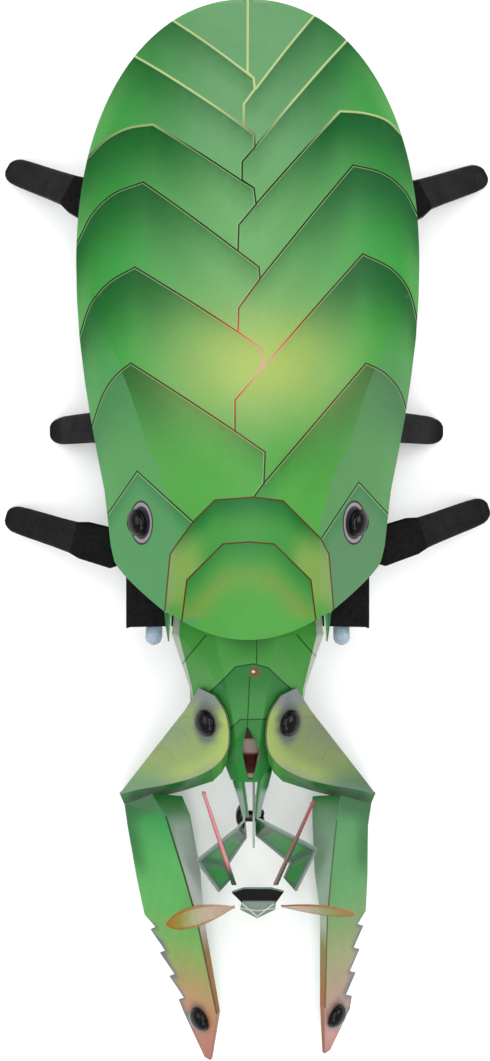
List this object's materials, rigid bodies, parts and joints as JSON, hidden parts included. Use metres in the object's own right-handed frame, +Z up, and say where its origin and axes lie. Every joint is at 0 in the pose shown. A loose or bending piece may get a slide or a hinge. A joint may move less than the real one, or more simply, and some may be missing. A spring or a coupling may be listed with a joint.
{
  "type": "hexapod robot kit",
  "caption": "Walking robot folded from plastic sheet in mantis form, with a carapace shell, geared legs and claw arms.",
  "frame": {"origin": "on the floor under the middle of the robot's bounding box", "axes": "+Z up, the head faces -Y, the tail +Y, +X to the side"},
  "size_m": [0.1358, 0.2796, 0.0629],
  "materials": {
    "printed_shell": "glossy printed green, scales in darker green",
    "printed_arm": "glossy printed green, tan at the claw",
    "clear_sheet": "clear glossy sheet with green bands",
    "feeler_print": "satin peach with green and orange tint",
    "antenna_print": "glossy red",
    "black_sheet": "satin black",
    "rivet_black": "polished black",
    "black_housing": "fine texture",
    "gear_plastic": "natural nylon",
    "steel": "satin",
    "brass_pinion": "machined",
    "circuit_board": "solder mask",
    "battery_foil": "foil wrap",
    "sensor_lens": "translucent",
    "amber_lens": "translucent amber"
  },
  "bodies": {
    "chassis": {"carapace": "printed_shell", "neck": "printed_shell", "mouth_link": "clear_sheet", "mouth_rivet": "rivet_black", "upper_plate": "black_sheet", "lower_plate": "black_sheet", "electronics_housing": "black_housing", "circuit_board": "circuit_board", "battery_cell": "battery_foil", "usb_inlet": "steel", "amber_led": "amber_lens", "left_eye_rivet": "rivet_black", "left_shoulder_rivet": "rivet_black", "left_bracket": "black_sheet", "left_lens": "sensor_lens", "left_motor": "steel", "left_gear_plate": "black_housing", "left_hip_rail": "black_sheet", "right_eye_rivet": "rivet_black", "right_shoulder_rivet": "rivet_black", "right_bracket": "black_sheet", "right_lens": "sensor_lens", "right_motor": "steel", "right_gear_plate": "black_housing", "right_hip_rail": "black_sheet"},
    "head": {"left_mandible": "clear_sheet", "right_mandible": "clear_sheet", "face_plate": "clear_sheet", "left_feeler": "feeler_print", "right_feeler": "feeler_print", "left_antenna": "antenna_print", "right_antenna": "antenna_print"},
    "power_button": {"power_button": "black_housing"},
    "left_arm": {"left_shoulder": "printed_arm"},
    "left_forearm": {"left_forearm": "printed_arm", "left_claw_rivet": "rivet_black"},
    "left_crank": {"left_crank_gear": "gear_plastic"},
    "left_double": {"left_double_gear": "gear_plastic"},
    "left_motor_pinion": {"left_pinion": "brass_pinion"},
    "left_front_hip": {"left_front_hip": "black_sheet"},
    "left_front_leg": {"left_front_leg": "black_sheet"},
    "left_middle_hip": {"left_middle_hip": "black_sheet"},
    "left_middle_leg": {"left_middle_leg": "black_sheet"},
    "left_rear_hip": {"left_rear_hip": "black_sheet"},
    "left_rear_leg": {"left_rear_leg": "black_sheet"},
    "right_arm": {"right_shoulder": "printed_arm"},
    "right_forearm": {"right_forearm": "printed_arm", "right_claw_rivet": "rivet_black"},
    "right_crank": {"right_crank_gear": "gear_plastic"},
    "right_double": {"right_double_gear": "gear_plastic"},
    "right_motor_pinion": {"right_pinion": "brass_pinion"},
    "right_front_hip": {"right_front_hip": "black_sheet"},
    "right_front_leg": {"right_front_leg": "black_sheet"},
    "right_middle_hip": {"right_middle_hip": "black_sheet"},
    "right_middle_leg": {"right_middle_leg": "black_sheet"},
    "right_rear_hip": {"right_rear_hip": "black_sheet"},
    "right_rear_leg": {"right_rear_leg": "black_sheet"}
  },
  "joints": [
    {"name": "power_press", "type": "slide", "parent": "chassis", "child": "power_button", "axis": [0, -1, 0], "range_m": [0, 0.0008], "stiffness_N_per_m": 900},
    {"name": "head_nod", "type": "hinge", "parent": "chassis", "child": "head", "pos_m": [0.001, -0.0709, 0.022], "axis": [-1, 0, 0], "range_deg": [-1, 14]},
    {"name": "left_shoulder_turn", "type": "hinge", "parent": "chassis", "child": "left_arm", "pos_m": [-0.0104, -0.0442, 0.041], "axis": [-0.7297, -0.1658, 0.6634], "range_deg": [-20, 2]},
    {"name": "left_elbow_fold", "type": "hinge", "parent": "left_arm", "child": "left_forearm", "pos_m": [-0.026, -0.0646, 0.0194], "axis": [-0.6268, -0.2286, -0.7448], "range_deg": [-8, 2]},
    {"name": "left_crank_spin", "type": "hinge", "parent": "chassis", "child": "left_crank", "pos_m": [-0.017, 0.0192, 0.0235], "axis": [1, 0, 0], "continuous": true},
    {"name": "left_double_spin", "type": "hinge", "parent": "chassis", "child": "left_double", "pos_m": [-0.017, 0.01, 0.0235], "axis": [1, 0, 0], "continuous": true},
    {"name": "left_motor_pinion_spin", "type": "hinge", "parent": "chassis", "child": "left_motor_pinion", "pos_m": [-0.017, 0.002, 0.0235], "axis": [1, 0, 0], "continuous": true},
    {"name": "left_front_swing", "type": "hinge", "parent": "chassis", "child": "left_front_hip", "pos_m": [-0.025, -0.003, 0.0215], "axis": [0, 0, 1], "range_deg": [-15, 15]},
    {"name": "left_front_lift", "type": "hinge", "parent": "left_front_hip", "child": "left_front_leg", "pos_m": [-0.02982, -0.00166, 0.0215], "axis": [0.2672, 0.9636, 0], "range_deg": [-10, 10]},
    {"name": "left_middle_swing", "type": "hinge", "parent": "chassis", "child": "left_middle_hip", "pos_m": [-0.025, 0.032, 0.0215], "axis": [0, 0, 1], "range_deg": [-15, 15]},
    {"name": "left_middle_lift", "type": "hinge", "parent": "left_middle_hip", "child": "left_middle_leg", "pos_m": [-0.03, 0.032, 0.0215], "axis": [0, 1, 0], "range_deg": [-10, 10]},
    {"name": "left_rear_swing", "type": "hinge", "parent": "chassis", "child": "left_rear_hip", "pos_m": [-0.025, 0.082, 0.0215], "axis": [0, 0, 1], "range_deg": [-15, 15]},
    {"name": "left_rear_lift", "type": "hinge", "parent": "left_rear_hip", "child": "left_rear_leg", "pos_m": [-0.02937, 0.08442, 0.0215], "axis": [0.4848, 0.8746, 0], "range_deg": [-10, 10]},
    {"name": "right_shoulder_turn", "type": "hinge", "parent": "chassis", "child": "right_arm", "pos_m": [0.0104, -0.0442, 0.041], "axis": [-0.7297, 0.1658, -0.6634], "range_deg": [-20, 2]},
    {"name": "right_elbow_fold", "type": "hinge", "parent": "right_arm", "child": "right_forearm", "pos_m": [0.026, -0.0646, 0.0194], "axis": [-0.6268, 0.2286, 0.7448], "range_deg": [-8, 2]},
    {"name": "right_crank_spin", "type": "hinge", "parent": "chassis", "child": "right_crank", "pos_m": [0.017, 0.0192, 0.0235], "axis": [1, 0, 0], "continuous": true},
    {"name": "right_double_spin", "type": "hinge", "parent": "chassis", "child": "right_double", "pos_m": [0.017, 0.01, 0.0235], "axis": [1, 0, 0], "continuous": true},
    {"name": "right_motor_pinion_spin", "type": "hinge", "parent": "chassis", "child": "right_motor_pinion", "pos_m": [0.017, 0.002, 0.0235], "axis": [1, 0, 0], "continuous": true},
    {"name": "right_front_swing", "type": "hinge", "parent": "chassis", "child": "right_front_hip", "pos_m": [0.025, -0.003, 0.0215], "axis": [0, 0, -1], "range_deg": [-15, 15]},
    {"name": "right_front_lift", "type": "hinge", "parent": "right_front_hip", "child": "right_front_leg", "pos_m": [0.02974, -0.00141, 0.0215], "axis": [0.3173, -0.9483, 0], "range_deg": [-10, 10]},
    {"name": "right_middle_swing", "type": "hinge", "parent": "chassis", "child": "right_middle_hip", "pos_m": [0.025, 0.032, 0.0215], "axis": [0, 0, -1], "range_deg": [-15, 15]},
    {"name": "right_middle_lift", "type": "hinge", "parent": "right_middle_hip", "child": "right_middle_leg", "pos_m": [0.03, 0.032, 0.0215], "axis": [0, -1, 0], "range_deg": [-10, 10]},
    {"name": "right_rear_swing", "type": "hinge", "parent": "chassis", "child": "right_rear_hip", "pos_m": [0.025, 0.082, 0.0215], "axis": [0, 0, -1], "range_deg": [-15, 15]},
    {"name": "right_rear_lift", "type": "hinge", "parent": "right_rear_hip", "child": "right_rear_leg", "pos_m": [0.02943, 0.08431, 0.0215], "axis": [0.4617, -0.887, 0], "range_deg": [-10, 10]}
  ],
  "couplings": [
    {"joint": "left_double_spin", "follows": "left_crank_spin", "ratio": -3.6},
    {"joint": "left_motor_pinion_spin", "follows": "left_crank_spin", "ratio": 14.4},
    {"joint": "left_middle_swing", "follows": "left_front_swing", "ratio": -1},
    {"joint": "left_middle_lift", "follows": "left_front_lift", "ratio": -1},
    {"joint": "left_rear_swing", "follows": "left_front_swing", "ratio": 1},
    {"joint": "left_rear_lift", "follows": "left_front_lift", "ratio": 1},
    {"joint": "right_double_spin", "follows": "right_crank_spin", "ratio": -3.6},
    {"joint": "right_motor_pinion_spin", "follows": "right_crank_spin", "ratio": 14.4},
    {"joint": "right_middle_swing", "follows": "right_front_swing", "ratio": -1},
    {"joint": "right_middle_lift", "follows": "right_front_lift", "ratio": -1},
    {"joint": "right_rear_swing", "follows": "right_front_swing", "ratio": 1},
    {"joint": "right_rear_lift", "follows": "right_front_lift", "ratio": 1}
  ]
}
